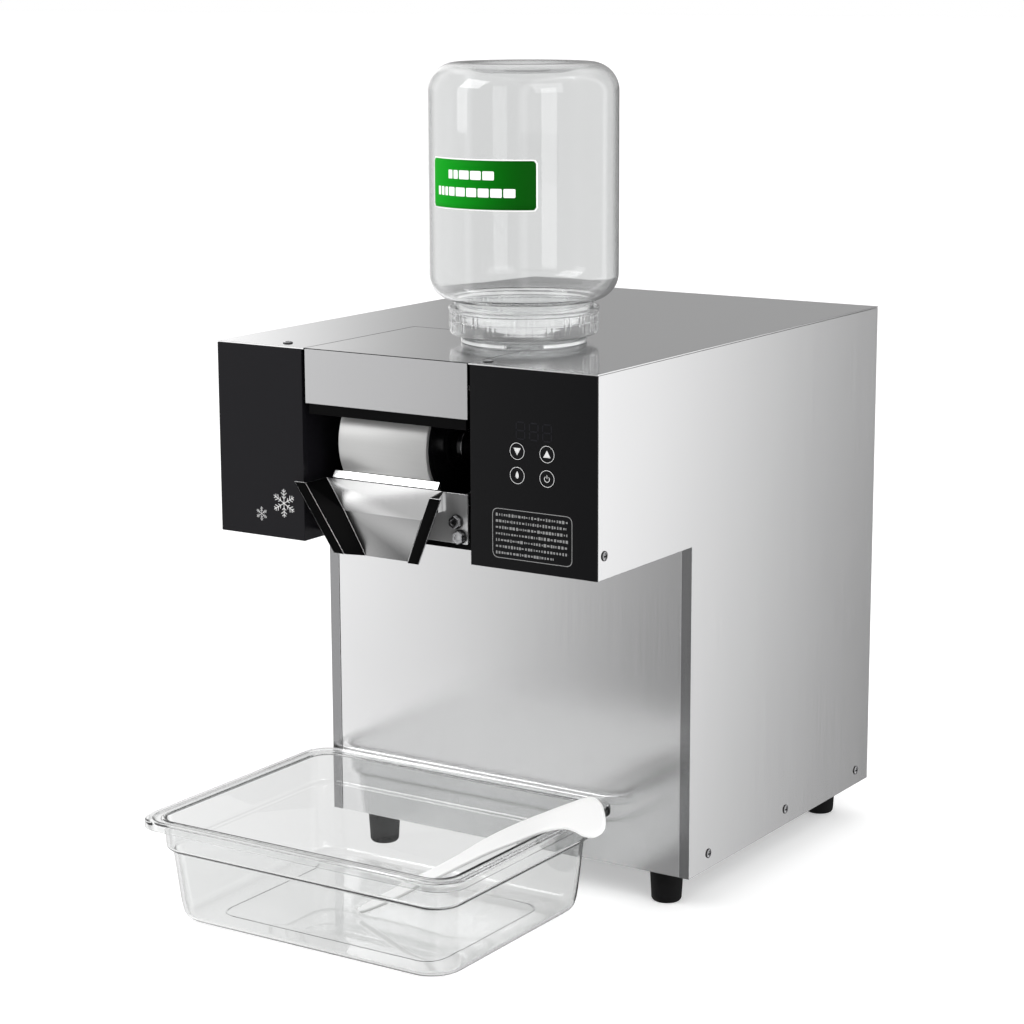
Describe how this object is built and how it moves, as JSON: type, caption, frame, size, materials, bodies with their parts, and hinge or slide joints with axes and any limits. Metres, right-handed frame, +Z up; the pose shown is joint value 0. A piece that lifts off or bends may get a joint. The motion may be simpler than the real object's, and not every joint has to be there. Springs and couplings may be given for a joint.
{
  "type": "shaved ice machine",
  "caption": "Countertop snow-ice machine: steel cabinet with a cold drum, scraper blade and chute, inverted water bottle on top, clear pan and scoop below.",
  "frame": {"origin": "on the table, under the middle of the whole object's box, with the bottle, pan and scoop in place", "axes": "+Z up; -Y towards the user, out of the head's front face; +X to the user's right, the control panel's side"},
  "size_m": [0.3964, 0.6178, 0.725],
  "materials": {
    "brushed_steel": "fine brushed stainless sheet",
    "bright_steel": "bright, lightly brushed",
    "black_fascia": "gloss black film on sheet",
    "black_satin": "satin black paint",
    "black_plastic": "satin black plastic",
    "black_rubber": "matt rubber",
    "clear_plastic": "clear, polished",
    "white_plastic": "smooth moulded",
    "drum_metal": "fine turned, satin",
    "zinc_plate": "zinc plated",
    "board_green": "solder mask",
    "grey_plastic": "moulded",
    "motor_paint": "satin paint",
    "copper_pipe": "drawn copper",
    "aluminium_fins": "mill finish",
    "gear_brass": "machined",
    "silicone": "translucent"
  },
  "bodies": {
    "cabinet": {"side_panel_left": "brushed_steel", "side_panel_right": "brushed_steel", "top_panel": "brushed_steel", "back_panel": "brushed_steel", "lower_front_panel": "brushed_steel", "head_floor": "brushed_steel", "blade": "bright_steel", "blade_bracket": "bright_steel", "chute": "bright_steel", "bearing_left": "bright_steel", "bearing_right": "bright_steel", "control_panel": "black_fascia", "left_front_cover": "black_satin", "drum_bay_liner": "black_satin", "power_inlet": "black_satin", "liquid_trough": "black_plastic", "foot_front_left": "black_rubber", "foot_front_right": "black_rubber", "foot_back_left": "black_rubber", "foot_back_right": "black_rubber", "bottle_seat": "clear_plastic", "base_pan": "zinc_plate", "motor_bracket": "zinc_plate", "bracket_bolt_upper": "zinc_plate", "bracket_bolt_lower": "zinc_plate", "side_screw_1": "zinc_plate", "side_screw_2": "zinc_plate", "side_screw_3": "zinc_plate", "side_screw_4": "zinc_plate", "top_screw_left": "zinc_plate", "top_screw_right": "zinc_plate", "control_board": "board_green", "display_module": "grey_plastic", "gear_motor": "motor_paint", "fan_motor": "motor_paint", "compressor": "motor_paint", "suction_pipe": "copper_pipe", "condenser_pipe": "copper_pipe", "condenser": "aluminium_fins", "feed_tube": "silicone"},
    "drum": {"drum_shell": "drum_metal", "drum_end_left": "black_plastic", "drum_end_right": "black_plastic", "drum_shaft": "black_satin", "shaft_collar": "bright_steel", "drum_gear": "gear_brass"},
    "pinion": {"motor_pinion": "zinc_plate"},
    "fan": {"condenser_fan": "black_plastic"},
    "cover": {"drum_cover": "brushed_steel", "cover_lip": "black_satin"},
    "bottle": {"water_bottle": "clear_plastic", "bottle_cap": "clear_plastic"},
    "valve": {"valve_plunger": "white_plastic"},
    "pan": {"catch_pan": "clear_plastic"},
    "scoop": {"scoop": "white_plastic"},
    "rocker": {"rocker_switch": "black_plastic"},
    "key_down": {"key_down": "black_fascia"},
    "key_up": {"key_up": "black_fascia"},
    "key_left": {"key_left": "black_fascia"},
    "key_right": {"key_right": "black_fascia"}
  },
  "joints": [
    {"name": "drum_spin", "type": "hinge", "parent": "cabinet", "child": "drum", "pos_m": [0.0063, -0.1304, 0.41], "axis": [1, 0, 0], "continuous": true},
    {"name": "pinion_spin", "type": "hinge", "parent": "cabinet", "child": "pinion", "pos_m": [0.0063, -0.09837, 0.37797], "axis": [1, 0, 0], "continuous": true},
    {"name": "fan_spin", "type": "hinge", "parent": "cabinet", "child": "fan", "pos_m": [0.0913, 0.2656, 0.15], "axis": [0, 1, 0], "continuous": true},
    {"name": "cover_slide", "type": "slide", "parent": "cabinet", "child": "cover", "axis": [0, -1, 0], "range_m": [0, 0.165]},
    {"name": "bottle_lift", "type": "slide", "parent": "cabinet", "child": "bottle", "axis": [0, 0, 1], "range_m": [0, 0.12]},
    {"name": "valve_drop", "type": "slide", "parent": "bottle", "child": "valve", "axis": [0, 0, 1], "range_m": [-0.004, 0]},
    {"name": "pan_slide", "type": "slide", "parent": "cabinet", "child": "pan", "axis": [0, -1, 0], "range_m": [0, 0.2]},
    {"name": "scoop_lift", "type": "slide", "parent": "pan", "child": "scoop", "axis": [0, 0, 1], "range_m": [0, 0.15]},
    {"name": "rocker_tip", "type": "hinge", "parent": "cabinet", "child": "rocker", "pos_m": [-0.0982, 0.3036, 0.075], "axis": [1, 0, 0], "range_deg": [-16, 0]},
    {"name": "key_down_press", "type": "slide", "parent": "cabinet", "child": "key_down", "axis": [0, 1, 0], "range_m": [0, 0.0005], "stiffness_N_per_m": 400, "springref_m": -0.0005},
    {"name": "key_up_press", "type": "slide", "parent": "cabinet", "child": "key_up", "axis": [0, 1, 0], "range_m": [0, 0.0005], "stiffness_N_per_m": 400, "springref_m": -0.0005},
    {"name": "key_left_press", "type": "slide", "parent": "cabinet", "child": "key_left", "axis": [0, 1, 0], "range_m": [0, 0.0005], "stiffness_N_per_m": 400, "springref_m": -0.0005},
    {"name": "key_right_press", "type": "slide", "parent": "cabinet", "child": "key_right", "axis": [0, 1, 0], "range_m": [0, 0.0005], "stiffness_N_per_m": 400, "springref_m": -0.0005}
  ],
  "couplings": [
    {"joint": "pinion_spin", "follows": "drum_spin", "ratio": -2},
    {"joint": "valve_drop", "follows": "bottle_lift", "ratio": -0.033333}
  ]
}
